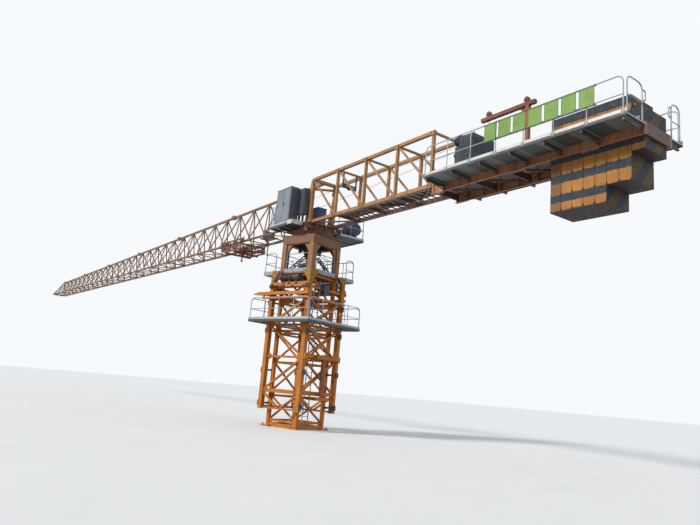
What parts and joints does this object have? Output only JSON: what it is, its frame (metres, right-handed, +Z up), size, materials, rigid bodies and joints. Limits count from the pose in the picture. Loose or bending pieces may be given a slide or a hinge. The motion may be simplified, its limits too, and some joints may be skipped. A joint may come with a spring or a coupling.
{
  "type": "flat-top tower crane with climbing cage, scale model 1:2",
  "caption": "Flat-top tower crane on a low lattice mast with a climbing cage, a long lattice jib with trolley and hook, and a counter-jib with slab counterweights; a model at half size.",
  "frame": {"origin": "centre of the mast on the lower face of its base, at ground level", "axes": "+X along the jib towards its tip, +Y to the side with the control cabinets, +Z up"},
  "size_m": [39.1941, 2.6097, 6.4099],
  "materials": {
    "crane_yellow": "semi-gloss",
    "crane_shade": "satin",
    "galvanised": "matt",
    "cabinet_grey": "satin",
    "winch_blue": "satin",
    "primer_red": "matt",
    "sign_green": "satin",
    "rope_steel": "oiled"
  },
  "bodies": {
    "mast": {"mast_base": "crane_yellow", "mast_section_1": "crane_yellow", "mast_section_2": "crane_yellow", "mast_ladder": "galvanised", "climb_crosshead": "crane_yellow"},
    "climbing_cage": {"cage_side_left": "crane_yellow", "cage_side_right": "crane_yellow", "cage_rear": "crane_yellow", "cage_front": "crane_yellow", "cage_rollers": "winch_blue", "climb_cylinder": "primer_red", "lower_platform": "galvanised", "introduction_rails": "crane_yellow", "slewing_support": "crane_shade", "upper_platform": "galvanised", "ring_fixed": "winch_blue"},
    "slewing_part": {"ring_turning": "winch_blue", "turntable": "crane_shade", "slew_motors": "winch_blue", "tower_head": "crane_yellow", "sheave_frame": "winch_blue", "counter_truss": "crane_yellow", "counter_girders": "crane_shade", "deck_gratings": "galvanised", "walkway_left": "galvanised", "walkway_right": "galvanised", "hoist_winch": "winch_blue", "service_davit": "primer_red", "sign_panel": "sign_green", "counterweights": "crane_yellow", "cabinet_platform": "galvanised", "control_cabinets": "cabinet_grey", "access_platform": "galvanised", "jib_section_1": "crane_yellow", "jib_section_2": "crane_yellow", "jib_section_3": "crane_yellow", "jib_section_4": "crane_yellow", "jib_section_5": "crane_yellow", "jib_section_6": "crane_yellow", "jib_tip": "crane_yellow", "trolley_winch": "winch_blue"},
    "trolley": {"trolley": "primer_red"},
    "hook_block": {"hook_block": "primer_red", "hoist_ropes": "rope_steel"},
    "lifting_hook": {"lifting_hook": "winch_blue"}
  },
  "joints": [
    {"name": "climb", "type": "slide", "parent": "mast", "child": "climbing_cage", "axis": [0, 0, 1], "range_m": [0, 0.8]},
    {"name": "slew", "type": "hinge", "parent": "climbing_cage", "child": "slewing_part", "pos_m": [0, 0, 4.8], "axis": [0, 0, 1], "continuous": true},
    {"name": "trolley_travel", "type": "slide", "parent": "slewing_part", "child": "trolley", "axis": [0.9999, 0, 0.0122], "range_m": [-1.9, 24.9]},
    {"name": "hoist", "type": "slide", "parent": "trolley", "child": "hook_block", "axis": [0, 0, -1], "range_m": [0, 3.9], "deforming": ["hoist_ropes"]},
    {"name": "hook_swivel", "type": "hinge", "parent": "hook_block", "child": "lifting_hook", "pos_m": [4.025, 0, 4.75591], "axis": [0, 0, 1], "continuous": true}
  ]
}
